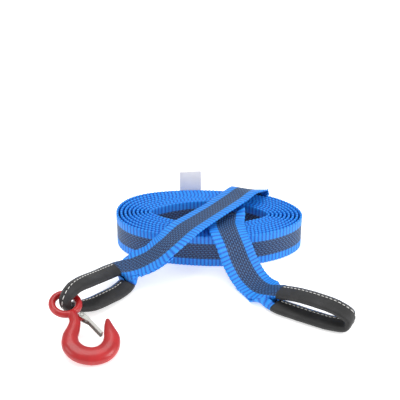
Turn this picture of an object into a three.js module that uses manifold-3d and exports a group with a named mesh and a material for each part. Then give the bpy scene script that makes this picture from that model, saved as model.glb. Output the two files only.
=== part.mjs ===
// Tow strap: a long flat webbing wound on edge into a flattened coil, with a sleeved eye at each end
// and a forged eye hook with a sprung safety latch on one of the eyes.
// Millimetres, +Z up. The floor is z = 0 and the origin is under the middle of the whole strap.
import * as THREE from 'three';
import { mergeVertices } from 'three/addons/utils/BufferGeometryUtils.js';
import Module from 'manifold-3d';

const wasm = await Module();
wasm.setup();

// Webbing
const WEBBING_WIDTH = 50;
const WEBBING_THICKNESS = 2.8;
const SEAT_GAP = 0.3;

// Coil: half sizes of its hole, and the open gap that each turn leaves to the next one
const COIL_CENTRE = [-1.5, 4];
const COIL_TURN_DEG = -2.6;
const HOLE_HALF_LENGTH = 78;
const HOLE_HALF_DEPTH_BACK = 27.5;
const HOLE_HALF_DEPTH_FRONT = 25;
const TURN_GAP_AT_ENDS = 2.8;
const TURN_GAP_AT_BACK = 0.43;
const TURN_GAP_AT_FRONT = 0.7;
const OUTLINE_FULLNESS_LEFT = 0.3;
const OUTLINE_FULLNESS_RIGHT = -0.05;
const HOLE_FULLNESS = -0.38;
const COIL_START_DEG = 92;
const COIL_END_DEG = 3288;
const COIL_STEPS_PER_TURN = 48;
const COIL_EXIT_STRAIGHT = 5;

// Eyes: the webbing is folded lengthwise to this size inside its sleeve
const FOLDED_WIDTH = 23.5;
const FOLDED_THICKNESS = 6.4;
const SLEEVE_WALL = 1.5;
const SLEEVE_SLACK = 0.4;
const SEAM_GAP = 0.8;
const ROUTE_STEPS = 5;

// Hook, in its own flat frame: x across, y away from the bowl, z through the forging, ring at the origin
const RING_RADIUS = 16.8;
const RING_TUBE_RADIUS = 4.7;
const RING_SEGMENTS = 36;
const RING_TUBE_SEGMENTS = 10;
const HOOK_SECTION_SIDES = 12;
const HOOK_STEPS = 4;
const HOOK_GROUND_PLACE = [-183, -169.5];
const HOOK_HEADING_DEG = 34;
const HOOK_TILT_DEG = 13;

// Latch and its pin, in the hook's frame
const PIVOT = [8.5, -27.5];
const LUG_RADIUS = 4.8;
const LUG_THICKNESS = 5.4;
const PIN_RADIUS = 1.8;
const PIN_CLEARANCE = 0.3;
const PIN_HEAD_RADIUS = 3;
const PIN_HEAD_THICKNESS = 0.9;
const LATCH_SHEET = 1.3;
const LATCH_LENGTH = 37;
const LATCH_ANGLE_DEG = 8.5;
const LATCH_WEB_START = 6.5;
const LATCH_WEB_OFFSET = 3.2;
const LATCH_HEAD_RADIUS = 4;
const LATCH_EAR_EDGE = 0.4;

// Label sewn to the back of the coil
const LABEL_WIDTH = 30;
const LABEL_HEIGHT = 52;
const LABEL_THICKNESS = 0.8;
const LABEL_ABOVE_COIL = 27;
const LABEL_AT_DEG = 2982.5;

const degrees = Math.PI / 180;
const vector = (list) => new THREE.Vector3(...list);

// Route of the webbing from the coil's outer end, over the coil and down to the hook's eye.
// Each station: middle of the webbing, direction across it, and how far it is folded to fit its sleeve.
const HOOK_END_LEAD = [
  [[75.5, 54.5, 27.8], [0.1, -0.02, 0.99], 0],
  [[64.5, 60, 38], [0.4, -0.12, 0.9], 0],
  [[53, 49.5, 58], [0.72, -0.6, 0.24], 0],
  [[32, 22.5, 61], [0.7, -0.68, 0.22], 0],
  [[9, -3, 60.5], [0.69, -0.68, 0.24], 0],
  [[-14, -27, 60], [0.72, -0.65, 0.2], 0],
  [[-34, -48, 59], [0.74, -0.64, 0.14], 0],
];
const HOOK_END_DOUBLED = [
  [[-57, -72.5, 51], [0.6, -0.78, 0.12], 0],
  [[-80, -79, 34], [0.44, -0.89, 0.08], 0.05],
  [[-102, -82, 24], [0.5, -0.86, 0.02], 0.3],
];
const HOOK_END_LOOP = [
  [[-124, -87.5, 22], [0.72, -0.69, 0], 1],
  [[-144, -114, 31], [0.81, -0.58, 0], 1],
  [[-161, -140, 41], [0.81, -0.58, 0], 1],
  [[-172.5, -156, 44.5], [0.81, -0.58, 0], 1.15],
  [[-181.5, -168, 39.5], [0.81, -0.58, 0], 1.35],
  [[-184, -171, 31], [0.81, -0.58, 0], 1.4],
  [[-181.5, -168, 22.5], [0.81, -0.58, 0], 1.35],
  [[-172.5, -159, 16.2], [0.8, -0.6, 0], 1.15],
  [[-154, -148, 11], [0.74, -0.67, 0], 1],
  [[-135, -131, 8.5], [0.68, -0.73, 0], 1],
  [[-119, -113.5, 6.3], [0.64, -0.77, 0], 1],
  [[-110, -100, 7.6], [0.62, -0.78, 0], 1],
];

// Route of the webbing from the coil's inner end, out of the hole, over the front and down to the free eye.
const FREE_END_LEAD = [
  [[19, 28.4, 25.2], [0, 0, 1], 0],
  [[28.5, 18, 27.5], [0.05, -0.03, 1], 0],
  [[29, 5, 37], [0.53, 0.1, 0.84], 0],
  [[25.5, -9, 53], [0.93, 0.28, 0.12], 0],
  [[22.5, -29, 54.6], [0.93, 0.36, 0.04], 0],
  [[25.5, -51, 56], [0.91, 0.4, -0.02], 0],
  [[32, -68, 48.5], [0.9, 0.42, -0.05], 0],
  [[42, -80, 26], [0.88, 0.45, 0], 0],
];
const FREE_END_DOUBLED = [
  [[54, -93, 10], [0.85, 0.5, 0.02], 0],
  [[69, -112, 7.5], [0.78, 0.6, 0.05], 0.1],
];
const FREE_END_LOOP = [
  [[93, -130, 17], [0.45, 0.89, 0], 1],
  [[114, -146, 25], [0.5, 0.86, 0], 1],
  [[139, -163, 29], [0.5, 0.86, 0], 1],
  [[162, -175.5, 27], [0.45, 0.89, 0], 1],
  [[177, -182.5, 18], [0.42, 0.9, 0], 1],
  [[174, -183.5, 7.8], [0.42, 0.9, 0], 1],
  [[155, -178.5, 5.6], [0.42, 0.9, 0], 1],
  [[133, -168.5, 5.6], [0.46, 0.88, 0], 1],
  [[109, -156, 5.6], [0.5, 0.86, 0], 1],
  [[87, -143, 6], [0.55, 0.84, 0], 1],
];

// Centre line of the forged hook from inside the ring to its tip: x, y, width in the plane, thickness.
const HOOK_LINE = [
  [0, -15, 10, 10],
  [-1, -23, 12.5, 12],
  [-4, -32, 14.5, 13.5],
  [-11.5, -41, 17.5, 14.5],
  [-20.5, -50, 20.5, 15.5],
  [-25.5, -62, 23.5, 16.5],
  [-22.5, -76, 24.5, 17],
  [-11, -87, 24.5, 17],
  [3, -90, 24.5, 17],
  [16, -85, 23.5, 17],
  [24.5, -75, 21, 16],
  [28, -64, 16, 14.5],
  [31, -55, 11, 11.5],
  [34.5, -47, 5.5, 7],
];

const materials = {
  webbing: new THREE.MeshStandardMaterial({ color: 0x2f7fe0, roughness: 0.75, metalness: 0 }),
  sleeve: new THREE.MeshStandardMaterial({ color: 0x262626, roughness: 0.8, metalness: 0 }),
  paint: new THREE.MeshStandardMaterial({ color: 0xd2262c, roughness: 0.35, metalness: 0.1 }),
  zinc: new THREE.MeshStandardMaterial({ color: 0xc6c8c4, roughness: 0.4, metalness: 0.9 }),
  label: new THREE.MeshStandardMaterial({ color: 0xeeeaea, roughness: 0.8, metalness: 0 }),
};

// Closed mesh over rings of equal length: side walls, and a flat cap at each end.
function skinRings(rings) {
  const sides = rings[0].length;
  const positions = rings.flat().flatMap((point) => point.toArray());
  const index = [];
  for (let ring = 0; ring + 1 < rings.length; ring += 1) {
    for (let side = 0; side < sides; side += 1) {
      const next = (side + 1) % sides;
      const a = ring * sides + side;
      const b = ring * sides + next;
      index.push(a, b, b + sides, a, b + sides, a + sides);
    }
  }
  const last = (rings.length - 1) * sides;
  for (let side = 1; side + 1 < sides; side += 1) {
    index.push(0, side + 1, side);
    index.push(last, last + side, last + side + 1);
  }
  return indexedGeometry(positions, index);
}

// Closed mesh between an outer and an inner row of rings, open at both ends like a hose.
function skinHose(outer, inner) {
  const sides = outer[0].length;
  const positions = [...outer, ...inner].flat().flatMap((point) => point.toArray());
  const shift = outer.length * sides;
  const last = (outer.length - 1) * sides;
  const index = [];
  for (let side = 0; side < sides; side += 1) {
    const next = (side + 1) % sides;
    for (let ring = 0; ring + 1 < outer.length; ring += 1) {
      const a = ring * sides + side;
      const b = ring * sides + next;
      index.push(a, b, b + sides, a, b + sides, a + sides);
      index.push(shift + a, shift + b + sides, shift + b, shift + a, shift + a + sides, shift + b + sides);
    }
    index.push(side, shift + side, shift + next, side, shift + next, next);
    index.push(last + side, shift + last + next, shift + last + side);
    index.push(last + side, last + next, shift + last + next);
  }
  return indexedGeometry(positions, index);
}

function indexedGeometry(positions, index) {
  const geometry = new THREE.BufferGeometry();
  geometry.setAttribute('position', new THREE.Float32BufferAttribute(positions, 3));
  geometry.setIndex(index);
  geometry.computeVertexNormals();
  return geometry;
}

// Width and thickness of the webbing where it is folded by a share; over 1 it is also squeezed narrower.
function foldedSize(fold) {
  return {
    width: WEBBING_WIDTH + (FOLDED_WIDTH - WEBBING_WIDTH) * fold,
    thickness: WEBBING_THICKNESS + (FOLDED_THICKNESS - WEBBING_THICKNESS) * Math.min(fold, 1),
  };
}

// Smooth frames along a route: middle, direction along, across and through, width and thickness.
function framesAlong(stations, steps) {
  const middles = new THREE.CatmullRomCurve3(stations.map((s) => vector(s[0])), false, 'centripetal');
  const count = (stations.length - 1) * steps;
  const frames = [];
  for (let i = 0; i <= count; i += 1) {
    const t = i / count;
    const scaled = t * (stations.length - 1);
    const from = Math.min(Math.floor(scaled), stations.length - 2);
    const mix = scaled - from;
    const blend = (pick) => pick(stations[from]) * (1 - mix) + pick(stations[from + 1]) * mix;
    const along = middles.getTangent(t);
    const across = new THREE.Vector3(blend((s) => s[1][0]), blend((s) => s[1][1]), blend((s) => s[1][2]));
    across.addScaledVector(along, -across.dot(along)).normalize();
    const through = new THREE.Vector3().crossVectors(along, across);
    frames.push({
      middle: middles.getPoint(t), along, across, through,
      width: blend((s) => foldedSize(s[2]).width),
      thickness: blend((s) => foldedSize(s[2]).thickness),
    });
  }
  return frames;
}

// Rectangle with its corners cut, turned into the plane of a frame.
function bandRing(frame, width, thickness) {
  const w = width / 2;
  const t = thickness / 2;
  const cut = t * 0.6;
  const corners = [
    [w - cut, -t], [w, -t + cut], [w, t - cut], [w - cut, t],
    [-w + cut, t], [-w, t - cut], [-w, -t + cut], [-w + cut, -t],
  ];
  return corners.map(([x, y]) => frame.middle.clone().addScaledVector(frame.across, x).addScaledVector(frame.through, y));
}

// The same stations on the underside of the webbing, in the opposite order: the end sewn back under itself.
function sewnBack(stations) {
  const middles = stations.map((station) => vector(station[0]));
  const under = stations.map((station, i) => {
    const along = middles[Math.min(i + 1, middles.length - 1)].clone().sub(middles[Math.max(i - 1, 0)]).normalize();
    const up = new THREE.Vector3().crossVectors(along, vector(station[1])).normalize();
    if (up.z < 0) {
      up.negate();
    }
    const place = middles[i].clone().addScaledVector(up, -(WEBBING_THICKNESS + SEAM_GAP));
    return [place.toArray(), station[1], 0];
  });
  return under.reverse();
}

// Stations that carry the webbing on from an end of the coil: outward is 1 at the outer end and -1 at the inner end.
function coilExit(angleDeg, outward) {
  const place = coilPoint(angleDeg * degrees);
  const along = coilDirection(angleDeg * degrees).multiplyScalar(outward);
  return [SEAT_GAP, COIL_EXIT_STRAIGHT].map((distance) => {
    const middle = place.clone().addScaledVector(along, distance);
    return [middle.toArray(), [0, 0, 1], 0];
  });
}

function strapEnd(exit, doubled, loop) {
  const stations = [...exit, ...doubled, ...loop, ...sewnBack(doubled)];
  const frames = framesAlong(stations, ROUTE_STEPS);
  return skinRings(frames.map((frame) => bandRing(frame, frame.width, frame.thickness)));
}

function sleeveOver(exit, doubled, loop) {
  const stations = [...exit, ...doubled, ...loop, ...sewnBack(doubled)];
  const first = (exit.length + doubled.length) * ROUTE_STEPS;
  const count = (loop.length - 1) * ROUTE_STEPS;
  const frames = framesAlong(stations, ROUTE_STEPS).slice(first, first + count + 1);
  const grown = (frame, extra) => bandRing(frame, frame.width + 2 * extra, frame.thickness + 2 * extra);
  return skinHose(
    frames.map((frame) => grown(frame, SLEEVE_SLACK + SLEEVE_WALL)),
    frames.map((frame) => grown(frame, SLEEVE_SLACK)),
  );
}

// Middle of the webbing in the coil at an angle that grows from the inner end to the outer end.
function coilPoint(angle) {
  const share = (angle - COIL_START_DEG * degrees) / ((COIL_END_DEG - COIL_START_DEG) * degrees);
  const cos = Math.cos(angle);
  const sin = Math.sin(angle);
  const turns = (angle / degrees - COIL_START_DEG) / 360;
  const reach = (hole, gap) => hole + WEBBING_THICKNESS / 2 + (WEBBING_THICKNESS + gap) * turns;
  const length = reach(HOLE_HALF_LENGTH, TURN_GAP_AT_ENDS);
  const back = reach(HOLE_HALF_DEPTH_BACK, TURN_GAP_AT_BACK);
  const front = reach(HOLE_HALF_DEPTH_FRONT, TURN_GAP_AT_FRONT);
  const leftness = (1 - cos) / 2;
  const outlineFullness = OUTLINE_FULLNESS_RIGHT + (OUTLINE_FULLNESS_LEFT - OUTLINE_FULLNESS_RIGHT) * leftness;
  const fullness = HOLE_FULLNESS + (outlineFullness - HOLE_FULLNESS) * share;
  const depth = (front + back) / 2 + ((back - front) / 2) * sin;
  const point = new THREE.Vector2(length * cos, depth * sin * (1 + fullness * cos * cos));
  point.rotateAround(new THREE.Vector2(0, 0), COIL_TURN_DEG * degrees);
  return new THREE.Vector3(point.x + COIL_CENTRE[0], point.y + COIL_CENTRE[1], WEBBING_WIDTH / 2);
}

function coilGeometry() {
  const start = COIL_START_DEG * degrees;
  const end = COIL_END_DEG * degrees;
  const count = Math.round(((COIL_END_DEG - COIL_START_DEG) / 360) * COIL_STEPS_PER_TURN);
  const half = WEBBING_THICKNESS / 2;
  const rings = [];
  for (let i = 0; i <= count; i += 1) {
    const angle = start + ((end - start) * i) / count;
    const middle = coilPoint(angle);
    const along = coilDirection(angle);
    const out = new THREE.Vector3(along.y, -along.x, 0);
    const corner = (side, z) => middle.clone().addScaledVector(out, side * half).setZ(z);
    rings.push([corner(-1, 0), corner(-1, WEBBING_WIDTH), corner(1, WEBBING_WIDTH), corner(1, 0)]);
  }
  return skinRings(rings);
}

function toSolid(geometry) {
  const bare = geometry.clone();
  bare.deleteAttribute('normal');
  bare.deleteAttribute('uv');
  const merged = mergeVertices(bare, 1e-4);
  return new wasm.Manifold(new wasm.Mesh({
    numProp: 3,
    vertProperties: new Float32Array(merged.attributes.position.array),
    triVerts: new Uint32Array(merged.index.array),
  }));
}

function fromSolid(solid) {
  const mesh = solid.getMesh();
  return indexedGeometry(Array.from(mesh.vertProperties), Array.from(mesh.triVerts));
}

// Cylinder along z, centred at a height.
function disc(x, y, radius, from, to, segments = 20) {
  const geometry = new THREE.CylinderGeometry(radius, radius, to - from, segments);
  geometry.rotateX(Math.PI / 2);
  geometry.translate(x, y, (from + to) / 2);
  return geometry;
}

function hookLimb() {
  const middles = new THREE.CatmullRomCurve3(HOOK_LINE.map(([x, y]) => new THREE.Vector3(x, y, 0)));
  const sizes = new THREE.CatmullRomCurve3(HOOK_LINE.map(([, , w, t]) => new THREE.Vector3(w, t, 0)));
  const up = new THREE.Vector3(0, 0, 1);
  const count = (HOOK_LINE.length - 1) * HOOK_STEPS;
  const rings = [];
  for (let i = 0; i <= count; i += 1) {
    const size = sizes.getPoint(i / count);
    const across = new THREE.Vector3().crossVectors(up, middles.getTangent(i / count));
    const ring = [];
    for (let side = 0; side < HOOK_SECTION_SIDES; side += 1) {
      const angle = (side / HOOK_SECTION_SIDES) * 2 * Math.PI;
      const point = middles.getPoint(i / count);
      point.addScaledVector(across, Math.cos(angle) * (size.x / 2));
      point.addScaledVector(up, Math.sin(angle) * (size.y / 2));
      ring.push(point);
    }
    rings.push(ring);
  }
  return skinRings(rings);
}

function hookGeometry() {
  const ring = new THREE.TorusGeometry(RING_RADIUS, RING_TUBE_RADIUS, RING_TUBE_SEGMENTS, RING_SEGMENTS);
  const lug = disc(PIVOT[0], PIVOT[1], LUG_RADIUS, -LUG_THICKNESS / 2, LUG_THICKNESS / 2);
  const hole = disc(PIVOT[0], PIVOT[1], PIN_RADIUS + PIN_CLEARANCE, -LUG_THICKNESS, LUG_THICKNESS);
  const bridge = new THREE.BoxGeometry(PIVOT[0], LUG_RADIUS * 1.6, LUG_THICKNESS);
  bridge.translate(PIVOT[0] / 2, PIVOT[1], 0);
  const body = toSolid(ring).add(toSolid(hookLimb())).add(toSolid(lug)).add(toSolid(bridge));
  return fromSolid(body.subtract(toSolid(hole)));
}

// Flat outline extruded between two heights.
function plate(points, from, to) {
  const shape = new THREE.Shape(points.map(([x, y]) => new THREE.Vector2(x, y)));
  const geometry = new THREE.ExtrudeGeometry(shape, { depth: to - from, bevelEnabled: false });
  geometry.translate(0, 0, from);
  return geometry;
}

// The latch in its own frame: pivot at the origin, pointing along -y, web on the +x side.
function latchGeometry() {
  const ear = LUG_THICKNESS / 2 + PIN_CLEARANCE;
  const outside = ear + LATCH_SHEET;
  const webOuter = LATCH_WEB_OFFSET + LATCH_SHEET;
  const slant = LATCH_HEAD_RADIUS * Math.SQRT1_2;
  const earOutline = [
    [-LATCH_HEAD_RADIUS, 0], [-slant, slant], [0, LATCH_HEAD_RADIUS], [slant, slant], [webOuter, 0],
    [webOuter, -LATCH_LENGTH], [LATCH_EAR_EDGE, -LATCH_LENGTH],
    [LATCH_EAR_EDGE, -LATCH_WEB_START * 2], [-slant, -LATCH_WEB_START],
  ];
  const webOutline = [
    [LATCH_WEB_OFFSET, -LATCH_WEB_START], [webOuter, -LATCH_WEB_START],
    [webOuter, -LATCH_LENGTH], [LATCH_WEB_OFFSET, -LATCH_LENGTH],
  ];
  const upper = toSolid(plate(earOutline, ear, outside));
  const lower = toSolid(plate(earOutline, -outside, -ear));
  const web = toSolid(plate(webOutline, -outside, outside));
  const bore = toSolid(disc(0, 0, PIN_RADIUS + PIN_CLEARANCE, -outside * 2, outside * 2));
  return fromSolid(upper.add(lower).add(web).subtract(bore));
}

function pinGeometry() {
  const reach = LUG_THICKNESS / 2 + PIN_CLEARANCE + LATCH_SHEET + PIN_CLEARANCE;
  const shank = toSolid(disc(0, 0, PIN_RADIUS, -reach - PIN_HEAD_THICKNESS / 2, reach + PIN_HEAD_THICKNESS / 2));
  const top = toSolid(disc(0, 0, PIN_HEAD_RADIUS, reach, reach + PIN_HEAD_THICKNESS));
  const bottom = toSolid(disc(0, 0, PIN_HEAD_RADIUS, -reach - PIN_HEAD_THICKNESS, -reach));
  return fromSolid(shank.add(top).add(bottom));
}

function coilDirection(angle) {
  return coilPoint(angle + 0.01).sub(coilPoint(angle - 0.01)).normalize();
}

function labelGeometry() {
  const place = coilPoint(LABEL_AT_DEG * degrees);
  const along = coilDirection(LABEL_AT_DEG * degrees);
  const behind = WEBBING_THICKNESS / 2 + 2 * SEAT_GAP + LABEL_THICKNESS / 2;
  const geometry = new THREE.BoxGeometry(LABEL_WIDTH, LABEL_THICKNESS, LABEL_HEIGHT);
  geometry.translate(0, behind, WEBBING_WIDTH + LABEL_ABOVE_COIL - LABEL_HEIGHT / 2);
  geometry.rotateZ(Math.atan2(-along.y, -along.x));
  geometry.translate(place.x, place.y, 0);
  return geometry;
}

function addPiece(parent, name, geometry, material) {
  const mesh = new THREE.Mesh(geometry, material);
  mesh.name = name;
  parent.add(mesh);
  return mesh;
}

function hookAssembly() {
  const hook = new THREE.Group();
  hook.rotation.order = 'ZYX';
  hook.rotation.set(HOOK_TILT_DEG * degrees, 0, HOOK_HEADING_DEG * degrees);
  addPiece(hook, 'hook', hookGeometry(), materials.paint);
  const pivot = new THREE.Group();
  pivot.position.set(PIVOT[0], PIVOT[1], 0);
  addPiece(pivot, 'latch_pin', pinGeometry(), materials.zinc);
  const latch = addPiece(pivot, 'latch', latchGeometry(), materials.zinc);
  latch.rotation.z = LATCH_ANGLE_DEG * degrees;
  hook.add(pivot);
  hook.updateMatrixWorld(true);
  const lowest = new THREE.Box3().setFromObject(hook, true).min.z;
  hook.position.set(HOOK_GROUND_PLACE[0], HOOK_GROUND_PLACE[1], -lowest);
  return hook;
}

const parts = new THREE.Group();
addPiece(parts, 'strap_coil', coilGeometry(), materials.webbing);
const hookEnd = [[...coilExit(COIL_END_DEG, 1), ...HOOK_END_LEAD], HOOK_END_DOUBLED, HOOK_END_LOOP];
const freeEnd = [[...coilExit(COIL_START_DEG, -1), ...FREE_END_LEAD], FREE_END_DOUBLED, FREE_END_LOOP];
addPiece(parts, 'strap_to_hook', strapEnd(...hookEnd), materials.webbing);
addPiece(parts, 'strap_to_free_eye', strapEnd(...freeEnd), materials.webbing);
addPiece(parts, 'sleeve_hook_end', sleeveOver(...hookEnd), materials.sleeve);
addPiece(parts, 'sleeve_free_end', sleeveOver(...freeEnd), materials.sleeve);
addPiece(parts, 'label', labelGeometry(), materials.label);
parts.add(hookAssembly());

// The origin goes to the floor under the middle of everything.
const strap = new THREE.Group();
strap.add(parts);
strap.updateMatrixWorld(true);
const bounds = new THREE.Box3().setFromObject(strap, true);
const middle = bounds.getCenter(new THREE.Vector3());
parts.position.set(-middle.x, -middle.y, -bounds.min.z);

export default strap;
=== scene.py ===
# Looks of the rolled tow strap: ribbed webbing, sewn sleeves, enamelled hook and zinc latch.
# Sizes and places are in millimetres in the row frame, and become metres when a mesh is made.
import math

import bpy
import numpy as np
from mathutils import Matrix, Vector


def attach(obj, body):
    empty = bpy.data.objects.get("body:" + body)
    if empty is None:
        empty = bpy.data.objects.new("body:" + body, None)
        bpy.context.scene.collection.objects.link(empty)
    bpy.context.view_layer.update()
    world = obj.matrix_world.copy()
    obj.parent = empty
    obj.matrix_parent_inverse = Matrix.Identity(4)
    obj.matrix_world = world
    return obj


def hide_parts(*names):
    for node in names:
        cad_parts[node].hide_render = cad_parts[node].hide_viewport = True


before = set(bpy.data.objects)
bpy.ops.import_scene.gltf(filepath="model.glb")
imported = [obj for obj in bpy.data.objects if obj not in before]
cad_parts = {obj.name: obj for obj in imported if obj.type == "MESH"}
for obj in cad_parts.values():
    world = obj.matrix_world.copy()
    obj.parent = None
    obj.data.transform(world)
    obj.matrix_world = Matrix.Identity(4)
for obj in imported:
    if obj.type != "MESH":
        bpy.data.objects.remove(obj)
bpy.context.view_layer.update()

MM = 0.001
ROW_SHIFT = np.array([8.88920, 96.19154, 0.09412])

# Webbing
WEBBING_WIDTH = 50.0
WEBBING_THICKNESS = 2.8
STRIPE_HALF = 12.6
STRIPE_ROW_PITCH = 3.15
DASH_SHIFT = 0.42
SEAT_GAP = 0.3
RIB_PITCH = 5.2
STEPS_PER_RIB = 5
RIB_RISE = 0.26
SCALLOP = 0.8
SCALLOP_MEAN = 0.8
SELVEDGE_START = 24.0
RIB_SHARPNESS = 0.6
RIB_MEAN = 0.55
STRIPE_RIB_SHARE = 0.35

# Coil
COIL_CENTRE = (-1.5, 4.0)
COIL_TURN_DEG = -2.6
HOLE_HALF_LENGTH = 78.0
HOLE_HALF_DEPTH_BACK = 27.5
HOLE_HALF_DEPTH_FRONT = 25.0
TURN_GAP_AT_ENDS = 2.8
TURN_GAP_AT_BACK = 0.43
TURN_GAP_AT_FRONT = 0.7
OUTLINE_FULLNESS_LEFT = 0.3
OUTLINE_FULLNESS_RIGHT = -0.05
HOLE_FULLNESS = -0.38
COIL_START_DEG = 92.0
COIL_END_DEG = 3288.0
COIL_EXIT_STRAIGHT = 5.0

# Eyes
FOLDED_WIDTH = 23.5
FOLDED_THICKNESS = 6.4
SLEEVE_WALL = 1.5
SLEEVE_SLACK = 0.4
SEAM_GAP = 0.8
FOLD_RISE = 1.6
FOLD_START = 0.3
FOLD_HINGE = 11.2
FOLD_BEND = 5.0
FOLD_ANGLE_DEG = 172.0
SQUEEZE_FROM = 0.95
SQUEEZE_WIDTH = 25.0
SLEEVE_SQUARENESS = 0.72
SLEEVE_MAP_GIRTH = 18.0
STITCH_LENGTH = 3.7
STITCH_PITCH = 5.6
STITCH_WIDTH = 1.1
STITCH_THICKNESS = 0.9
STITCH_FROM_EDGE = 9.5
FLANGE_START = 0.4
FLANGE_THINNING = 0.5

# Hook, in its own frame: x across, y away from the bowl, z through the forging, ring at the origin
RING_RADIUS = 16.8
LIMB_SQUARENESS = 0.92
TIP_ROUNDING = 2.2
RING_TUBE_RADIUS = 4.7
HOOK_ORIGIN = (-174.11080, -73.30846, 28.88793)
HOOK_HEADING_DEG = 34.0
HOOK_TILT_DEG = 13.0
PIVOT = (8.5, -27.5)
LUG_RADIUS = 4.8
LUG_THICKNESS = 5.4
PIN_RADIUS = 1.8
PIN_CLEARANCE = 0.3
PIN_HEAD_RADIUS = 3.0
PIN_HEAD_THICKNESS = 0.9
LATCH_SHEET = 1.3
LATCH_LENGTH = 37.0
LATCH_ANGLE_DEG = 8.5
LATCH_WEB_START = 6.5
LATCH_WEB_OFFSET = 3.2
LATCH_HEAD_RADIUS = 4.0
LATCH_EAR_EDGE = 0.4
LATCH_EAR_BACK = -2.2

# Label
LABEL_WIDTH = 30.0
LABEL_HEIGHT = 52.0
LABEL_THICKNESS = 0.8
LABEL_ABOVE_COIL = 27.0
LABEL_AT_DEG = 2982.5

# Stations of the routes: middle, direction across, share of the fold
HOOK_END_LEAD = [
    [[75.5, 54.5, 27.8], [0.1, -0.02, 0.99], 0],
    [[64.5, 60, 38], [0.4, -0.12, 0.9], 0],
    [[53, 49.5, 58], [0.72, -0.6, 0.24], 0],
    [[32, 22.5, 61], [0.7, -0.68, 0.22], 0],
    [[9, -3, 60.5], [0.69, -0.68, 0.24], 0],
    [[-14, -27, 60], [0.72, -0.65, 0.2], 0],
    [[-34, -48, 59], [0.74, -0.64, 0.14], 0],
]
HOOK_END_DOUBLED = [
    [[-57, -72.5, 51], [0.6, -0.78, 0.12], 0],
    [[-80, -79, 34], [0.44, -0.89, 0.08], 0.05],
    [[-102, -82, 24], [0.5, -0.86, 0.02], 0.3],
]
HOOK_END_LOOP = [
    [[-124, -87.5, 22], [0.72, -0.69, 0], 1],
    [[-144, -114, 31], [0.81, -0.58, 0], 1],
    [[-161, -140, 41], [0.81, -0.58, 0], 1],
    [[-172.5, -156, 44.5], [0.81, -0.58, 0], 1.15],
    [[-181.5, -168, 39.5], [0.81, -0.58, 0], 1.35],
    [[-184, -171, 31], [0.81, -0.58, 0], 1.4],
    [[-181.5, -168, 22.5], [0.81, -0.58, 0], 1.35],
    [[-172.5, -159, 16.2], [0.8, -0.6, 0], 1.15],
    [[-154, -148, 11], [0.74, -0.67, 0], 1],
    [[-135, -131, 8.5], [0.68, -0.73, 0], 1],
    [[-119, -113.5, 6.3], [0.64, -0.77, 0], 1],
    [[-110, -100, 7.6], [0.62, -0.78, 0], 1],
]
FREE_END_LEAD = [
    [[19, 28.4, 25.2], [0, 0, 1], 0],
    [[28.5, 18, 27.5], [0.05, -0.03, 1], 0],
    [[29, 5, 37], [0.53, 0.1, 0.84], 0],
    [[25.5, -9, 53], [0.93, 0.28, 0.12], 0],
    [[22.5, -29, 54.6], [0.93, 0.36, 0.04], 0],
    [[25.5, -51, 56], [0.91, 0.4, -0.02], 0],
    [[32, -68, 48.5], [0.9, 0.42, -0.05], 0],
    [[42, -80, 26], [0.88, 0.45, 0], 0],
]
FREE_END_DOUBLED = [
    [[54, -93, 10], [0.85, 0.5, 0.02], 0],
    [[69, -112, 7.5], [0.78, 0.6, 0.05], 0.1],
]
FREE_END_LOOP = [
    [[93, -130, 17], [0.45, 0.89, 0], 1],
    [[114, -146, 25], [0.5, 0.86, 0], 1],
    [[139, -163, 29], [0.5, 0.86, 0], 1],
    [[162, -175.5, 27], [0.45, 0.89, 0], 1],
    [[177, -182.5, 18], [0.42, 0.9, 0], 1],
    [[174, -183.5, 7.8], [0.42, 0.9, 0], 1],
    [[155, -178.5, 5.6], [0.42, 0.9, 0], 1],
    [[133, -168.5, 5.6], [0.46, 0.88, 0], 1],
    [[109, -156, 5.6], [0.5, 0.86, 0], 1],
    [[87, -143, 6], [0.55, 0.84, 0], 1],
]

# Centre line of the forged hook: x, y, width in the plane, thickness
HOOK_LINE = [
    [0, -15, 10, 10],
    [-1, -23, 12.5, 12],
    [-4, -32, 14.5, 13.5],
    [-11.5, -41, 17.5, 14.5],
    [-20.5, -50, 20.5, 15.5],
    [-25.5, -62, 23.5, 16.5],
    [-22.5, -76, 24.5, 17],
    [-11, -87, 24.5, 17],
    [3, -90, 24.5, 17],
    [16, -85, 23.5, 17],
    [24.5, -75, 21, 16],
    [28, -64, 16, 14.5],
    [31, -55, 11, 11.5],
    [34.5, -47, 5.5, 7],
]


# Camera and stage


def make_camera():
    data = bpy.data.cameras.new("photo_camera")
    data.sensor_width = 36.0
    data.lens = 103.38
    camera = bpy.data.objects.new("photo_camera", data)
    camera.location = (-0.00369, -1.20464, 0.95072)
    camera.rotation_euler = (math.radians(56.0), 0.0, 0.0)
    bpy.context.scene.collection.objects.link(camera)
    bpy.context.scene.camera = camera


def area_light(name, place, aim, size, power, colour=(1.0, 1.0, 1.0)):
    data = bpy.data.lights.new(name, "AREA")
    data.shape = "RECTANGLE"
    data.size, data.size_y = size
    data.energy = power
    data.color = colour
    light = bpy.data.objects.new(name, data)
    light.location = place
    light.rotation_euler = (Vector(aim) - Vector(place)).to_track_quat("-Z", "Y").to_euler()
    bpy.context.scene.collection.objects.link(light)


def make_lights():
    world = bpy.data.worlds.new("studio")
    world.use_nodes = True
    background = world.node_tree.nodes["Background"]
    background.inputs["Color"].default_value = (1.0, 1.0, 1.0, 1.0)
    background.inputs["Strength"].default_value = 0.7
    bpy.context.scene.world = world
    area_light("overhead_softbox", (-0.2, 0.25, 1.5), (0, 0, 0), (1.2, 0.9), 10)
    area_light("left_softbox", (-1.3, -0.5, 0.8), (-0.1, 0, 0), (0.7, 0.9), 4)
    area_light("right_softbox", (1.2, -0.4, 0.7), (0.1, 0, 0), (0.6, 0.9), 9)
    bpy.context.scene.view_settings.view_transform = "Standard"


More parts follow.
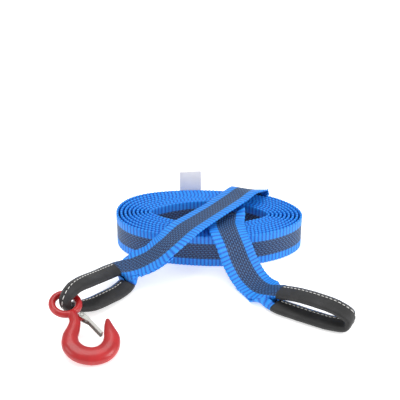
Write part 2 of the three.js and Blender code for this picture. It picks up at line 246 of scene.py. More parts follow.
def make_floor():
    bpy.ops.mesh.primitive_plane_add(size=12, location=(0, 0, -0.0002))
    floor = bpy.context.object
    floor.name = "floor"
    material, _, shader = new_material("floor_white")
    shader.inputs["Base Color"].default_value = (0.93, 0.93, 0.93, 1)
    shader.inputs["Roughness"].default_value = 0.9
    shader.inputs["Emission Color"].default_value = (1, 1, 1, 1)
    shader.inputs["Emission Strength"].default_value = 0.5
    floor.data.materials.append(material)


# Smooth routes


def centripetal(points, place):
    """Point of a centripetal Catmull-Rom curve; place runs from 0 to 1 over all its points."""
    last = len(points) - 1
    scaled = min(max(place, 0.0), 1.0) * last
    at = min(int(scaled), last - 1)
    t = scaled - at
    p1, p2 = points[at], points[at + 1]
    p0 = points[at - 1] if at > 0 else 2 * p1 - p2
    p3 = points[at + 2] if at + 2 <= last else 2 * p2 - p1
    d1 = max(np.linalg.norm(p2 - p1) ** 0.5, 1e-4)
    d0 = max(np.linalg.norm(p1 - p0) ** 0.5, 1e-4)
    d2 = max(np.linalg.norm(p3 - p2) ** 0.5, 1e-4)
    m1 = ((p1 - p0) / d0 - (p2 - p0) / (d0 + d1) + (p2 - p1) / d1) * d1
    m2 = ((p2 - p1) / d1 - (p3 - p1) / (d1 + d2) + (p3 - p2) / d2) * d1
    return (2 * p1 - 2 * p2 + m1 + m2) * t**3 + (-3 * p1 + 3 * p2 - 2 * m1 - m2) * t**2 + m1 * t + p1


def unit(rows):
    return rows / np.linalg.norm(rows, axis=-1, keepdims=True)


def frames_along(stations, count):
    """Frames at equal steps of a route's parameter, each with its fold and travelled length."""
    points = [np.array(s[0], float) for s in stations]
    places = np.linspace(0, 1, count + 1)
    middle = np.array([centripetal(points, p) for p in places])
    ahead = np.array([centripetal(points, p + 1e-4) for p in places])
    behind = np.array([centripetal(points, p - 1e-4) for p in places])
    scaled = places * (len(stations) - 1)
    at = np.minimum(scaled.astype(int), len(stations) - 2)
    mix = (scaled - at)[:, None]
    sides = np.array([s[1] for s in stations], float)
    folds = np.array([s[2] for s in stations], float)
    along = unit(ahead - behind)
    across = sides[at] * (1 - mix) + sides[at + 1] * mix
    across = unit(across - (across * along).sum(1, keepdims=True) * along)
    fold = folds[at] * (1 - mix[:, 0]) + folds[at + 1] * mix[:, 0]
    return {
        "middle": middle + ROW_SHIFT,
        "along": along,
        "across": across,
        "through": np.cross(along, across),
        "fold": fold,
        "length": travelled(middle),
    }


def travelled(middle):
    steps = np.linalg.norm(np.diff(middle, axis=0), axis=1)
    return np.concatenate([[0.0], np.cumsum(steps)])


def even_frames(frames, step):
    """The same frames at even distances along the route."""
    total = frames["length"][-1]
    wanted = np.linspace(0, total, max(2, int(round(total / step))) + 1)
    made = {"length": wanted}
    for key in ("middle", "along", "across", "through"):
        made[key] = np.stack([np.interp(wanted, frames["length"], frames[key][:, i]) for i in range(3)], 1)
    made["along"] = unit(made["along"])
    made["across"] = unit(made["across"])
    made["through"] = unit(made["through"])
    made["fold"] = np.interp(wanted, frames["length"], frames["fold"])
    return made


def cut_frames(frames, first, last):
    return {key: value[first : last + 1] for key, value in frames.items()}


def coil_point(angle):
    """Middle of the webbing in the coil, in the part's own layout, at angles that grow outwards."""
    share = (angle - math.radians(COIL_START_DEG)) / math.radians(COIL_END_DEG - COIL_START_DEG)
    cos, sin = np.cos(angle), np.sin(angle)
    turns = (np.degrees(angle) - COIL_START_DEG) / 360

    def reach(hole, gap):
        return hole + WEBBING_THICKNESS / 2 + (WEBBING_THICKNESS + gap) * turns

    length = reach(HOLE_HALF_LENGTH, TURN_GAP_AT_ENDS)
    back = reach(HOLE_HALF_DEPTH_BACK, TURN_GAP_AT_BACK)
    front = reach(HOLE_HALF_DEPTH_FRONT, TURN_GAP_AT_FRONT)
    leftness = (1 - cos) / 2
    outline = OUTLINE_FULLNESS_RIGHT + (OUTLINE_FULLNESS_LEFT - OUTLINE_FULLNESS_RIGHT) * leftness
    fullness = HOLE_FULLNESS + (outline - HOLE_FULLNESS) * share
    depth = (front + back) / 2 + ((back - front) / 2) * sin
    x = length * cos
    y = depth * sin * (1 + fullness * cos * cos)
    turn = math.radians(COIL_TURN_DEG)
    return np.stack(
        [
            x * math.cos(turn) - y * math.sin(turn) + COIL_CENTRE[0],
            x * math.sin(turn) + y * math.cos(turn) + COIL_CENTRE[1],
            np.full_like(x, WEBBING_WIDTH / 2),
        ],
        axis=-1,
    )


def coil_frames():
    angle = np.linspace(math.radians(COIL_START_DEG), math.radians(COIL_END_DEG), 6000)
    middle = coil_point(angle)
    along = unit(coil_point(angle + 0.01) - coil_point(angle - 0.01))
    across = np.tile([0.0, 0.0, 1.0], (len(angle), 1))
    return {
        "middle": middle + ROW_SHIFT,
        "along": along,
        "across": across,
        "through": np.cross(along, across),
        "fold": np.zeros(len(angle)),
        "length": travelled(middle),
    }


def coil_exit(angle_deg, outward):
    angle = math.radians(angle_deg)
    place = coil_point(np.array([angle]))[0]
    along = unit(coil_point(np.array([angle + 0.01])) - coil_point(np.array([angle - 0.01])))[0] * outward
    return [[list(place + along * d), [0, 0, 1], 0] for d in (SEAT_GAP, COIL_EXIT_STRAIGHT)]


def sewn_back(stations):
    """The same stations on the underside of the webbing, in the opposite order."""
    middles = [np.array(s[0], float) for s in stations]
    under = []
    for i, station in enumerate(stations):
        along = middles[min(i + 1, len(middles) - 1)] - middles[max(i - 1, 0)]
        up = np.cross(along, station[1])
        up = up / np.linalg.norm(up) * (1 if up[2] > 0 else -1)
        under.append([list(middles[i] - up * (WEBBING_THICKNESS + SEAM_GAP)), station[1], 0])
    return under[::-1]


# Meshes


def mesh_object(name, points, faces, uv=None, smooth=True):
    mesh = bpy.data.meshes.new(name)
    mesh.from_pydata([tuple(p) for p in np.asarray(points) * MM], [], faces)
    if uv is not None:
        layer = mesh.uv_layers.new(name="weave")
        flat = np.array([uv[f][i] for f in range(len(faces)) for i in range(len(faces[f]))], np.float32)
        layer.data.foreach_set("uv", flat.ravel())
    mesh.polygons.foreach_set("use_smooth", [smooth] * len(mesh.polygons))
    mesh.update()
    piece = bpy.data.objects.new(name, mesh)
    bpy.context.scene.collection.objects.link(piece)
    return piece


def ring_faces(rings, sides):
    """Side faces of a closed tube, ring by ring."""
    faces = []
    for r in range(rings - 1):
        for s in range(sides):
            n = (s + 1) % sides
            faces.append((r * sides + s, r * sides + n, (r + 1) * sides + n, (r + 1) * sides + s))
    return faces


# Half of the webbing's section, from one selvedge to the other: place across and share of the thickness
SECTION = [
    (-25.0, 0.0),
    (-24.85, 0.62),
    (-24.2, 0.98),
    (-21.0, 1.0),
    (-17.0, 1.0),
    (-13.2, 1.0),
    (-12.3, 0.9),
    (-4.2, 0.9),
    (4.2, 0.9),
    (12.3, 0.9),
    (13.2, 1.0),
    (17.0, 1.0),
    (21.0, 1.0),
    (24.2, 0.98),
    (24.85, 0.62),
    (25.0, 0.0),
]


def flap_turn(fold):
    """Angle by which the edges are folded under, from flat webbing to fully folded."""
    share = np.clip((fold - FOLD_START) / (1 - FOLD_START), 0, 1)
    return share * share * (3 - 2 * share) * math.radians(FOLD_ANGLE_DEG)


def bent_section(across, height, fold):
    """Moves a point of the flat section to where the folded edges take it."""
    turn = flap_turn(fold)
    beyond = abs(across) - FOLD_HINGE
    if beyond <= 0 or turn < 1e-4:
        return across, height
    angle = turn * min(beyond / FOLD_BEND, 1.0)
    radius = FOLD_BEND / turn
    flat = max(beyond - FOLD_BEND, 0.0)
    x = FOLD_HINGE + radius * math.sin(angle) + flat * math.cos(angle) + height * math.sin(angle)
    y = -radius * (1 - math.cos(angle)) - flat * math.sin(angle) + height * math.cos(angle)
    return math.copysign(x, across), y


def folded_point(across, height, fold):
    """A point of the flat section where the webbing goes into its sleeve, folded and at last squeezed."""
    x, y = bent_section(across, height, fold)
    rise = FOLD_RISE * min(1.0, (fold - FOLD_START) / (SQUEEZE_FROM - FOLD_START))
    if fold > SQUEEZE_FROM:
        x *= min(1.0, (WEBBING_WIDTH + (FOLDED_WIDTH - WEBBING_WIDTH) * fold) / SQUEEZE_WIDTH)
    return x, y + rise


def webbing(name, frames):
    """Ribbed webbing swept along frames. Its map holds the place along it and across it, in mm."""
    half = WEBBING_THICKNESS / 2
    ring = SECTION + [(a, -h) for a, h in SECTION[1:-1]][::-1]
    sides = len(ring)
    count = len(frames["length"])
    ridge = (0.5 + 0.5 * np.cos(2 * math.pi * frames["length"] / RIB_PITCH)) ** RIB_SHARPNESS
    points = np.zeros((count, sides, 3))
    for s, (a, h) in enumerate(ring):
        band = 1.0 if abs(a) > STRIPE_HALF else STRIPE_RIB_SHARE
        edge = SCALLOP if abs(a) > SELVEDGE_START else 0.0
        points[:, s, 0] = a + math.copysign(edge, a) * (ridge - SCALLOP_MEAN)
        points[:, s, 1] = h * (half + RIB_RISE * band * (ridge - RIB_MEAN))
    for i in np.flatnonzero(frames["fold"] > FOLD_START):
        points[i] = [(*folded_point(x, y, frames["fold"][i]), 0) for x, y, _ in points[i]]
    placed = (
        frames["middle"][:, None, :]
        + frames["across"][:, None, :] * points[..., 0:1]
        + frames["through"][:, None, :] * points[..., 1:2]
    )
    faces = ring_faces(count, sides)
    across_of = [a for a, _ in ring]
    lengths = frames["length"]
    uv = []
    for r in range(count - 1):
        for s in range(sides):
            n = (s + 1) % sides
            v0, v1 = across_of[s], across_of[n]
            uv.append(((lengths[r], v0), (lengths[r], v1), (lengths[r + 1], v1), (lengths[r + 1], v0)))
    caps = [tuple(range(sides))[::-1], tuple((count - 1) * sides + s for s in range(sides))]
    for cap, where in zip(caps, (0, count - 1)):
        faces.append(cap)
        uv.append(tuple((lengths[where], across_of[i % sides]) for i in cap))
    return mesh_object(name, placed.reshape(-1, 3), faces, uv)


def flange(toward_seam):
    """Share of its thickness that a sleeve keeps on its way to the sewn edge."""
    return 1 - FLANGE_THINNING * max(0.0, (toward_seam - FLANGE_START) / (1 - FLANGE_START))


def sleeve_ring(width, thickness, seam_side, sides=28):
    """Rounded flat tube, pinched to a thin sewn flange on its seam side."""
    ring = []
    for i in range(sides):
        angle = 2 * math.pi * i / sides
        c, s = math.cos(angle), math.sin(angle)
        x = math.copysign(abs(c) ** SLEEVE_SQUARENESS, c) * width / 2
        y = math.copysign(abs(s) ** SLEEVE_SQUARENESS, s) * thickness / 2
        ring.append((x, y * flange(x * seam_side / (width / 2))))
    return ring


def sleeve(name, frames, seam_side):
    """Sleeve round the folded webbing: outside, rims and inside walls."""
    count = len(frames["length"])
    outer, inner = [], []
    for i in range(count):
        fold = frames["fold"][i]
        width = WEBBING_WIDTH + (FOLDED_WIDTH - WEBBING_WIDTH) * fold
        thickness = WEBBING_THICKNESS + (FOLDED_THICKNESS - WEBBING_THICKNESS) * min(fold, 1)
        crease = 0.35 * math.sin(frames["length"][i] / 7.0) + 0.25 * math.sin(frames["length"][i] / 3.1 + 1.0)
        for grown, rows, more in ((SLEEVE_SLACK + SLEEVE_WALL, outer, crease), (SLEEVE_SLACK, inner, 0)):
            ring = sleeve_ring(width + 2 * grown, thickness + 2 * grown + more * 0.6, seam_side)
            for x, y in ring:
                rows.append(frames["middle"][i] + frames["across"][i] * x + frames["through"][i] * y)
    sides = len(outer) // count
    faces = ring_faces(count, sides)
    shift = count * sides
    faces += [tuple(v + shift for v in face[::-1]) for face in ring_faces(count, sides)]
    last = (count - 1) * sides
    for s in range(sides):
        n = (s + 1) % sides
        faces.append((n, s, shift + s, shift + n))
        faces.append((last + s, last + n, shift + last + n, shift + last + s))
    lengths = frames["length"]
    around = [SLEEVE_MAP_GIRTH * s / sides for s in range(sides + 1)]
    uv = []
    for inside in (False, True):
        for r in range(count - 1):
            for s in range(sides):
                square = (
                    (lengths[r], around[s]),
                    (lengths[r], around[s + 1]),
                    (lengths[r + 1], around[s + 1]),
                    (lengths[r + 1], around[s]),
                )
                uv.append(square[::-1] if inside else square)
    for s in range(sides):
        uv.append(((0, around[s]),) * 4)
        uv.append(((lengths[-1], around[s]),) * 4)
    return mesh_object(name, np.array(outer + inner), faces, uv)


def stitches(name, frames, seam_side):
    """Thread dashes near the seam edge of a sleeve, on both of its faces."""
    width = FOLDED_WIDTH + 2 * (SLEEVE_SLACK + SLEEVE_WALL)
    thickness = FOLDED_THICKNESS + 2 * (SLEEVE_SLACK + SLEEVE_WALL)
    points, faces = [], []
    sides = 6
    total = frames["length"][-1]
    start = 2.5
    while start + STITCH_LENGTH < total - 1.5:
        for face in (1, -1):
            rows = 5
            base = len(points)
            for k in range(rows):
                share = k / (rows - 1)
                at = start + STITCH_LENGTH * share
                middle, across, through, fold = frame_at(frames, at)
                folded = WEBBING_WIDTH + (FOLDED_WIDTH - WEBBING_WIDTH) * fold
                narrow = (folded + 2 * (SLEEVE_SLACK + SLEEVE_WALL)) / width
                x = seam_side * (width / 2 * narrow - STITCH_FROM_EDGE)
                y = face * surface_height(x, width * narrow, thickness, seam_side)
                arch = math.sin(math.pi * share)
                swell = 0.55 + 0.45 * arch
                wide, high = STITCH_WIDTH / 2 * swell, STITCH_THICKNESS / 2 * swell
                centre = middle + across * x + through * (y + face * (0.2 + 0.25 * arch))
                for s in range(sides):
                    angle = 2 * math.pi * s / sides
                    points.append(centre + across * math.cos(angle) * wide + through * math.sin(angle) * high)
            for r in range(rows - 1):
                for s in range(sides):
                    n = (s + 1) % sides
                    a, b = base + r * sides + s, base + r * sides + n
                    faces.append((a, b, b + sides, a + sides))
            faces.append(tuple(base + s for s in range(sides))[::-1])
            faces.append(tuple(base + (rows - 1) * sides + s for s in range(sides)))
        start += STITCH_PITCH
    return mesh_object(name, np.array(points), faces)


def frame_at(frames, distance):
    def pick(key):
        rows = frames[key]
        if rows.ndim == 1:
            return float(np.interp(distance, frames["length"], rows))
        return np.array([np.interp(distance, frames["length"], rows[:, i]) for i in range(3)])

    return pick("middle"), unit(pick("across")), unit(pick("through")), pick("fold")


def surface_height(x, width, thickness, seam_side):
    """Half thickness of a sleeve at a place across it."""
    share = min(abs(x) / (width / 2), 0.999)
    height = (1 - share ** (2 / SLEEVE_SQUARENESS)) ** (SLEEVE_SQUARENESS / 2)
    return height * thickness / 2 * flange(x * seam_side / (width / 2))


# Hook, latch and pin


def hook_matrix():
    heading = Matrix.Rotation(math.radians(HOOK_HEADING_DEG), 4, "Z")
    turn = heading @ Matrix.Rotation(math.radians(HOOK_TILT_DEG), 4, "X")
    return Matrix.Translation(Vector(HOOK_ORIGIN) * MM) @ turn


def torus(radius, tube, segments, sides):
    points, faces = [], []
    for i in range(segments):
        a = 2 * math.pi * i / segments
        for j in range(sides):
            b = 2 * math.pi * j / sides
            r = radius + tube * math.cos(b)
            points.append((r * math.cos(a), r * math.sin(a), tube * math.sin(b)))
    for i in range(segments):
        for j in range(sides):
            n, m = (i + 1) % segments, (j + 1) % sides
            faces.append((i * sides + j, n * sides + j, n * sides + m, i * sides + m))
    return mesh_object("hook_ring", points, faces)


def hook_limb():
    middles = [np.array([x, y, 0.0]) for x, y, _, _ in HOOK_LINE]
    sizes = [np.array([w, t, 0.0]) for _, _, w, t in HOOK_LINE]
    count, sides = 120, 32
    points = []
    for i in range(count + 1):
        p = i / count
        middle = centripetal(middles, p)
        along = unit(centripetal(middles, p + 1e-4) - centripetal(middles, p - 1e-4))
        size = centripetal(sizes, p)
        across = np.cross([0, 0, 1], along)
        for s in range(sides):
            a = 2 * math.pi * s / sides
            c, d = math.cos(a), math.sin(a)
            x = math.copysign(abs(c) ** LIMB_SQUARENESS, c) * size[0] / 2
            z = math.copysign(abs(d) ** LIMB_SQUARENESS, d) * size[1] / 2
            points.append(middle + across * x + np.array([0, 0, 1.0]) * z)
    faces = ring_faces(count + 1, sides)
    tip = len(points)
    end = centripetal(middles, 1.0)
    along = unit(end - centripetal(middles, 0.999))
    points.append(end + along * TIP_ROUNDING)
    last = count * sides
    faces += [(last + s, last + (s + 1) % sides, tip) for s in range(sides)]
    faces.append(tuple(range(sides))[::-1])
    return mesh_object("hook_limb", np.array(points), faces)


def cylinder(name, x, y, radius, low, high, sides=40):
    points = []
    for z in (low, high):
        for s in range(sides):
            a = 2 * math.pi * s / sides
            points.append((x + radius * math.cos(a), y + radius * math.sin(a), z))
    faces = ring_faces(2, sides)
    faces.append(tuple(range(sides))[::-1])
    faces.append(tuple(range(sides, 2 * sides)))
    return mesh_object(name, points, faces, smooth=False)


def apply_all(piece):
    """Applies a piece's modifiers to its mesh."""
    graph = bpy.context.evaluated_depsgraph_get()
    mesh = bpy.data.meshes.new_from_object(piece.evaluated_get(graph))
    old = piece.data
    piece.modifiers.clear()
    piece.data = mesh
    bpy.data.meshes.remove(old)
    return piece


def boolean(piece, other, operation):
    modifier = piece.modifiers.new("join", "BOOLEAN")
    modifier.operation = operation
    modifier.object = other
    modifier.solver = "EXACT"
    apply_all(piece)
    bpy.data.objects.remove(other)


def hook_forging():
    body = hook_limb()
    boolean(body, torus(RING_RADIUS, RING_TUBE_RADIUS, 96, 32), "UNION")
    half = LUG_THICKNESS / 2
    boolean(body, cylinder("lug", *PIVOT, LUG_RADIUS, -half, half), "UNION")
    bridge = cylinder("bridge", PIVOT[0] / 2, PIVOT[1], LUG_RADIUS * 0.9, -half, half)
    boolean(body, bridge, "UNION")
    remesh = body.modifiers.new("even", "REMESH")
    remesh.mode = "VOXEL"
    remesh.voxel_size = 0.75 * MM
    smooth = body.modifiers.new("soften", "SMOOTH")
    smooth.factor = 0.5
    smooth.iterations = 7
    apply_all(body)
    bore = cylinder("bore", *PIVOT, PIN_RADIUS + PIN_CLEARANCE, -12, 12)
    boolean(body, bore, "DIFFERENCE")
    body.name = "hook_forging"
    body.data.transform(hook_matrix())
    body.data.polygons.foreach_set("use_smooth", [True] * len(body.data.polygons))
    return body


def prism(name, outline, low, high):
    count = len(outline)
    points = [(x, y, z) for z in (low, high) for x, y in outline]
    faces = [(s, (s + 1) % count, count + (s + 1) % count, count + s) for s in range(count)]
    faces.append(tuple(range(count))[::-1])
    faces.append(tuple(range(count, 2 * count)))
    piece = mesh_object(name, points, faces, smooth=False)
    return piece


def round_edges(piece, width, segments=3):
    bevel = piece.modifiers.new("edges", "BEVEL")
    bevel.width = width * MM
    bevel.segments = segments
    bevel.limit_method = "ANGLE"
    bevel.angle_limit = math.radians(35)
    apply_all(piece)
    piece.data.polygons.foreach_set("use_smooth", [True] * len(piece.data.polygons))
    weighted = piece.modifiers.new("shade", "WEIGHTED_NORMAL")
    weighted.keep_sharp = True
    apply_all(piece)


def latch_channel():
    ear = LUG_THICKNESS / 2 + PIN_CLEARANCE
    outside = ear + LATCH_SHEET
    web_outer = LATCH_WEB_OFFSET + LATCH_SHEET
    turns = [math.radians(a) for a in range(0, 200, 15)]
    head = [(LATCH_HEAD_RADIUS * math.cos(a), LATCH_HEAD_RADIUS * math.sin(a)) for a in turns]
    head[0] = (web_outer, 0)
    ears = head + [
        (LATCH_EAR_BACK, -LATCH_WEB_START),
        (LATCH_EAR_EDGE, -2 * LATCH_WEB_START),
        (LATCH_EAR_EDGE, -LATCH_LENGTH),
        (web_outer, -LATCH_LENGTH),
    ]
    body = prism("latch_channel", ears, ear, outside)
    boolean(body, prism("lower_ear", ears, -outside, -ear), "UNION")
    web = [
        (LATCH_WEB_OFFSET, -LATCH_LENGTH),
        (web_outer, -LATCH_LENGTH),
        (web_outer, -LATCH_WEB_START),
        (LATCH_WEB_OFFSET, -LATCH_WEB_START),
    ]
    boolean(body, prism("web", web, -outside, outside), "UNION")
    boolean(body, cylinder("latch_bore", 0, 0, PIN_RADIUS + PIN_CLEARANCE, -12, 12), "DIFFERENCE")
    round_edges(body, 0.35)
    body.name = "latch_channel"
    turn = Matrix.Rotation(math.radians(LATCH_ANGLE_DEG), 4, "Z")
    body.data.transform(hook_matrix() @ Matrix.Translation(Vector((*PIVOT, 0)) * MM) @ turn)
    return body


def latch_rivet():
    reach = LUG_THICKNESS / 2 + PIN_CLEARANCE + LATCH_SHEET + PIN_CLEARANCE
    profile = [
        (0.0, reach + PIN_HEAD_THICKNESS),
        (PIN_HEAD_RADIUS * 0.55, reach + PIN_HEAD_THICKNESS * 0.92),
        (PIN_HEAD_RADIUS * 0.88, reach + PIN_HEAD_THICKNESS * 0.6),
        (PIN_HEAD_RADIUS, reach + PIN_HEAD_THICKNESS * 0.2),
        (PIN_HEAD_RADIUS * 0.97, reach),
        (PIN_RADIUS, reach),
    ]
    profile += [(r, -z) for r, z in profile[::-1]]
    sides = 36
    points = []
    for r, z in profile[1:-1]:
        turns = [2 * math.pi * s / sides for s in range(sides)]
        points += [(r * math.cos(a), r * math.sin(a), z) for a in turns]
    faces = [f[::-1] for f in ring_faces(len(profile) - 2, sides)]
    top, low = len(points), len(points) + 1
    points += [(0, 0, profile[0][1]), (0, 0, profile[-1][1])]
    last = (len(profile) - 3) * sides
    faces += [(s, (s + 1) % sides, top) for s in range(sides)]
    faces += [(last + (s + 1) % sides, last + s, low) for s in range(sides)]
    piece = mesh_object("latch_rivet", points, faces)
    piece.data.transform(hook_matrix() @ Matrix.Translation(Vector((*PIVOT, 0)) * MM))
    return piece


def label_cloth():
    """Plain woven label: a folded ribbon that stands up behind the coil and leans a little."""
    angle = math.radians(LABEL_AT_DEG)
    place = coil_point(np.array([angle]))[0]
    along = unit(coil_point(np.array([angle + 0.01])) - coil_point(np.array([angle - 0.01])))[0]
    side = np.array([-along[0], -along[1], 0])
    out = np.array([-side[1], side[0], 0])
    behind = WEBBING_THICKNESS / 2 + 2 * SEAT_GAP + LABEL_THICKNESS / 2
    top = WEBBING_WIDTH + LABEL_ABOVE_COIL
    columns, rows = 24, 40
    points, uv_points = [], []
    for face in (1, -1):
        for r in range(rows + 1):
            z = top - LABEL_HEIGHT * r / rows
            free = max(0.0, z - WEBBING_WIDTH)
            for c in range(columns + 1):
                x = LABEL_WIDTH * (c / columns - 0.5)
                bow = free * (0.012 * free + 0.05 * math.sin(x / 9.0)) * 0.6
                depth = behind + bow + face * LABEL_THICKNESS / 2 * 0.8
                foot = place * np.array([1, 1, 0]) + ROW_SHIFT
                points.append(foot + side * x + out * depth + np.array([0, 0, z]))
                uv_points.append((x, z))
    faces = []
    stride = columns + 1
    shift = (rows + 1) * stride
    for r in range(rows):
        for c in range(columns):
            a = r * stride + c
            quad = (a, a + 1, a + 1 + stride, a + stride)
            faces.append(quad)
            faces.append(tuple(shift + v for v in quad[::-1]))
    for r in range(rows):
        for c in (0, columns):
            a = r * stride + c
            quad = (a, a + stride, shift + a + stride, shift + a)
            faces.append(quad if c == 0 else quad[::-1])
    for c in range(columns):
        for r in (0, rows):
            a = r * stride + c
            quad = (a + 1, a, shift + a, shift + a + 1)
            faces.append(quad if r == 0 else quad[::-1])
    uv = [tuple(uv_points[v] for v in face) for face in faces]
    return mesh_object("label_cloth", np.array(points), faces, uv)


# Materials


def new_material(name):
    material = bpy.data.materials.new(name)
    material.use_nodes = True
    tree = material.node_tree
    return material, tree, tree.nodes["Principled BSDF"]


class Weaver:
    """Short names for adding nodes to one material."""

    def __init__(self, tree):
        self.tree = tree

    def node(self, kind, **values):
        made = self.tree.nodes.new(kind)
        for key, value in values.items():
            setattr(made, key, value)
        return made

    def link(self, source, target):
        if isinstance(source, (int, float)):
            target.default_value = source
        elif isinstance(source, tuple):
            target.default_value = source
        else:
            self.tree.links.new(source, target)

    def math(self, operation, a, b=0.0, c=0.0):
        made = self.node("ShaderNodeMath", operation=operation)
        for value, socket in zip((a, b, c), made.inputs):
            self.link(value, socket)
        return made.outputs[0]

    def ramp(self, value, low, high):
        made = self.node("ShaderNodeMapRange", interpolation_type="SMOOTHSTEP")
        self.link(value, made.inputs["Value"])
        made.inputs["From Min"].default_value = low
        made.inputs["From Max"].default_value = high
        return made.outputs["Result"]

    def mix(self, share, a, b):
        made = self.node("ShaderNodeMix", data_type="RGBA")
        self.link(share, made.inputs[0])
        self.link(a, made.inputs[6])
        self.link(b, made.inputs[7])
        return made.outputs[2]

    def map_axes(self):
        where = self.node("ShaderNodeUVMap", uv_map="weave")
        parts = self.node("ShaderNodeSeparateXYZ")
        self.link(where.outputs[0], parts.inputs[0])
        return parts.outputs[0], parts.outputs[1], where.outputs[0]

    def noise(self, scale, detail=2.0, vector=None):
        made = self.node("ShaderNodeTexNoise")
        made.inputs["Scale"].default_value = scale
        made.inputs["Detail"].default_value = detail
        if vector is None:
            vector = self.node("ShaderNodeTexCoord").outputs["Object"]
        self.link(vector, made.inputs["Vector"])
        return made.outputs["Fac"]

    def bump(self, height, distance, strength, shader, before=None):
        made = self.node("ShaderNodeBump")
        made.inputs["Strength"].default_value = strength
        made.inputs["Distance"].default_value = distance
        self.link(height, made.inputs["Height"])
        if before is not None:
            self.link(before, made.inputs["Normal"])
        if shader is not None:
            self.link(made.outputs[0], shader.inputs["Normal"])
        return made.outputs[0]

    def wave(self, value, pitch, phase=0.0):
        """From 0 to 1 and back once in each pitch, 1 at its middle."""
        turned = self.math("MULTIPLY_ADD", value, 2 * math.pi / pitch, phase)
        return self.math("MULTIPLY_ADD", self.math("COSINE", turned), 0.5, 0.5)


def webbing_material():
    material, tree, shader = new_material("webbing_weave")
    w = Weaver(tree)
    along, across, both = w.map_axes()
    ridge = w.wave(along, RIB_PITCH)
    apart = w.math("ABSOLUTE", across)
    band = w.ramp(apart, STRIPE_HALF - 0.25, STRIPE_HALF + 0.25)

    worn = w.noise(60.0, 3.0)
    yarn = w.noise(0.9, 2.0, both)
    # Blue bands lighter on the rib crests and darker in the rib valleys: painted highlight on the crests and
    # painted shade in the valleys.
    blue_with_rib_shade = w.mix(w.math("POWER", ridge, 0.6), (0.001, 0.055, 0.45, 1), (0.005, 0.28, 0.9, 1))
    blue_with_rib_shade = w.mix(w.math("MULTIPLY", w.ramp(yarn, 0.4, 0.75), 0.35), blue_with_rib_shade, (0.05, 0.42, 0.95, 1))
    blue_with_rib_shade = w.mix(w.math("MULTIPLY", w.ramp(worn, 0.5, 0.8), 0.25), blue_with_rib_shade, (0.01, 0.16, 0.75, 1))

    row_pitch = STRIPE_ROW_PITCH
    row = w.math("DIVIDE", across, row_pitch)
    row_number = w.math("FLOOR", row)
    shifted = w.math("MULTIPLY_ADD", row_number, DASH_SHIFT, w.math("DIVIDE", along, RIB_PITCH))
    dash_place = w.math("FRACT", shifted)
    dash_end = w.math("ABSOLUTE", w.math("SUBTRACT", dash_place, 0.5))
    dash_long = w.math("SUBTRACT", 1.0, w.ramp(dash_end, 0.27, 0.38))
    in_row = w.math("ABSOLUTE", w.math("SUBTRACT", w.math("FRACT", row), 0.5))
    dash_wide = w.math("SUBTRACT", 1.0, w.ramp(in_row, 0.12, 0.3))
    dash = w.math("MULTIPLY", dash_long, dash_wide)
    # Navy stripe lighter on the rib crests and darker in the rib valleys: painted highlight and painted shade
    # of the ribs.
    navy_with_rib_shade = w.mix(ridge, (0.004, 0.009, 0.05, 1), (0.008, 0.03, 0.1, 1))
    stripe = w.mix(w.math("MULTIPLY", dash, 0.8), navy_with_rib_shade, (0.05, 0.16, 0.38, 1))

    w.link(w.mix(band, stripe, blue_with_rib_shade), shader.inputs["Base Color"])
    fine = w.math("MULTIPLY", w.wave(across, 0.9), w.wave(along, 1.3))
    rough = w.math("MULTIPLY_ADD", yarn, 0.2, 0.42)
    w.link(rough, shader.inputs["Roughness"])
    shader.inputs["Sheen Weight"].default_value = 0.1
    shader.inputs["Sheen Tint"].default_value = (0.3, 0.7, 1.0, 1)
    shader.inputs["Specular IOR Level"].default_value = 0.45
    ribs = w.bump(w.math("MULTIPLY", ridge, w.math("MULTIPLY_ADD", band, 0.7, 0.3)), 0.0006, 0.8, None)
    dashes = w.bump(w.math("MULTIPLY", dash, w.math("SUBTRACT", 1.0, band)), 0.0004, 0.7, None, ribs)
    w.bump(fine, 0.00012, 0.5, shader, dashes)
    return material


def sleeve_material():
    material, tree, shader = new_material("sleeve_cloth")
    w = Weaver(tree)
    grain = w.noise(2200.0, 2.0)
    patches = w.noise(70.0, 3.0)
    colour = w.mix(w.ramp(patches, 0.35, 0.7), (0.006, 0.006, 0.0065, 1), (0.014, 0.014, 0.015, 1))
    colour = w.mix(w.math("MULTIPLY", w.ramp(grain, 0.5, 0.8), 0.35), colour, (0.03, 0.03, 0.032, 1))
    w.link(colour, shader.inputs["Base Color"])
    w.link(w.math("MULTIPLY_ADD", grain, 0.2, 0.5), shader.inputs["Roughness"])
    shader.inputs["Sheen Weight"].default_value = 0.05
    creases = w.bump(patches, 0.0015, 0.35, None)
    w.bump(grain, 0.00018, 0.6, shader, creases)
    return material


def thread_material():
    material, tree, shader = new_material("white_thread")
    w = Weaver(tree)
    twist = w.noise(4000.0, 1.0)
    w.link(w.mix(twist, (0.72, 0.71, 0.68, 1), (0.9, 0.9, 0.88, 1)), shader.inputs["Base Color"])
    shader.inputs["Roughness"].default_value = 0.6
    w.bump(twist, 0.0001, 0.5, shader)
    return material


def paint_material():
    material, tree, shader = new_material("red_enamel")
    w = Weaver(tree)
    cloud = w.noise(45.0, 3.0)
    orange_peel = w.noise(700.0, 1.0)
    colour = w.mix(w.ramp(cloud, 0.3, 0.75), (0.36, 0.005, 0.007, 1), (0.48, 0.009, 0.012, 1))
    w.link(colour, shader.inputs["Base Color"])
    w.link(w.math("MULTIPLY_ADD", cloud, 0.18, 0.24), shader.inputs["Roughness"])
    shader.inputs["Coat Weight"].default_value = 0.2
    shader.inputs["Coat Roughness"].default_value = 0.18
    hammered = w.bump(cloud, 0.0012, 0.25, None)
    w.bump(orange_peel, 0.00012, 0.35, shader, hammered)
    return material


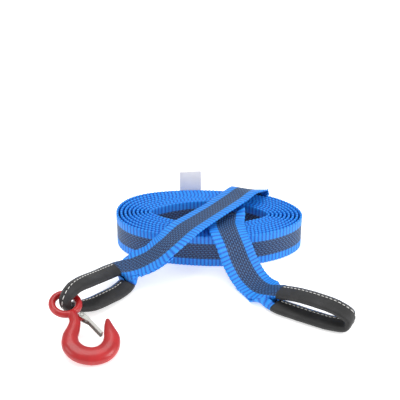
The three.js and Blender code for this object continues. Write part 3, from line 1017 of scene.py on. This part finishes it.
def zinc_material():
    material, tree, shader = new_material("zinc_plate")
    w = Weaver(tree)
    cloud = w.noise(120.0, 3.0)
    brushed = w.noise(1500.0, 2.0)
    w.link(w.mix(cloud, (0.3, 0.3, 0.285, 1), (0.46, 0.46, 0.435, 1)), shader.inputs["Base Color"])
    shader.inputs["Metallic"].default_value = 0.6
    w.link(w.math("MULTIPLY_ADD", cloud, 0.25, 0.28), shader.inputs["Roughness"])
    w.bump(brushed, 0.0001, 0.25, shader)
    return material


def label_material():
    material, tree, shader = new_material("label_satin")
    w = Weaver(tree)
    along, across, _ = w.map_axes()
    threads = w.math("MULTIPLY", w.wave(along, 0.7), w.wave(across, 0.9))
    soft = w.noise(90.0, 2.0)
    colour = w.mix(soft, (0.68, 0.67, 0.7, 1), (0.8, 0.79, 0.82, 1))
    colour = w.mix(w.math("MULTIPLY", threads, 0.25), colour, (0.88, 0.88, 0.89, 1))
    w.link(colour, shader.inputs["Base Color"])
    w.link(w.math("MULTIPLY_ADD", soft, 0.2, 0.5), shader.inputs["Roughness"])
    shader.inputs["Sheen Weight"].default_value = 0.2
    w.bump(threads, 0.00012, 0.6, shader)
    return material


# The object


def finish_piece(piece, material, body, nodes=()):
    piece.data.materials.clear()
    piece.data.materials.append(material)
    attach(piece, body)
    if nodes:
        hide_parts(*nodes)
    return piece


make_camera()
web = webbing_material()
cloth = sleeve_material()
thread = thread_material()
paint = paint_material()
zinc = zinc_material()

RIB_STEP = RIB_PITCH / STEPS_PER_RIB
STEPS_PER_STATION = 40
hook_route = [*coil_exit(COIL_END_DEG, 1), *HOOK_END_LEAD], HOOK_END_DOUBLED, HOOK_END_LOOP
free_route = [*coil_exit(COIL_START_DEG, -1), *FREE_END_LEAD], FREE_END_DOUBLED, FREE_END_LOOP


def make_end(name, sleeve_name, route, seam_side):
    lead, doubled, loop = route
    stations = [*lead, *doubled, *loop, *sewn_back(doubled)]
    steps = STEPS_PER_STATION
    raw = frames_along(stations, (len(stations) - 1) * steps)
    first = (len(lead) + len(doubled)) * steps
    covered = cut_frames(raw, first, first + (len(loop) - 1) * steps)
    covered["length"] = covered["length"] - covered["length"][0]
    tail = webbing(name.replace("strap", "webbing"), even_frames(raw, RIB_STEP))
    finish_piece(tail, web, "strap", [name])
    hose = sleeve(sleeve_name + "_cloth", even_frames(covered, 2.0), seam_side)
    finish_piece(hose, cloth, "strap", [sleeve_name])
    seam = stitches(sleeve_name + "_stitches", even_frames(covered, 1.0), seam_side)
    finish_piece(seam, thread, "strap")


finish_piece(hook_forging(), paint, "hook", ["hook"])
finish_piece(latch_rivet(), zinc, "hook", ["latch_pin"])
finish_piece(latch_channel(), zinc, "latch", ["latch"])
make_end("strap_to_hook", "sleeve_hook_end", hook_route, -1)
make_end("strap_to_free_eye", "sleeve_free_end", free_route, 1)
coil_raw = coil_frames()
coil = webbing("webbing_coil", even_frames(coil_raw, RIB_STEP))
finish_piece(coil, web, "strap", ["strap_coil"])
label = finish_piece(label_cloth(), label_material(), "strap", ["label"])

make_floor()
make_lights()
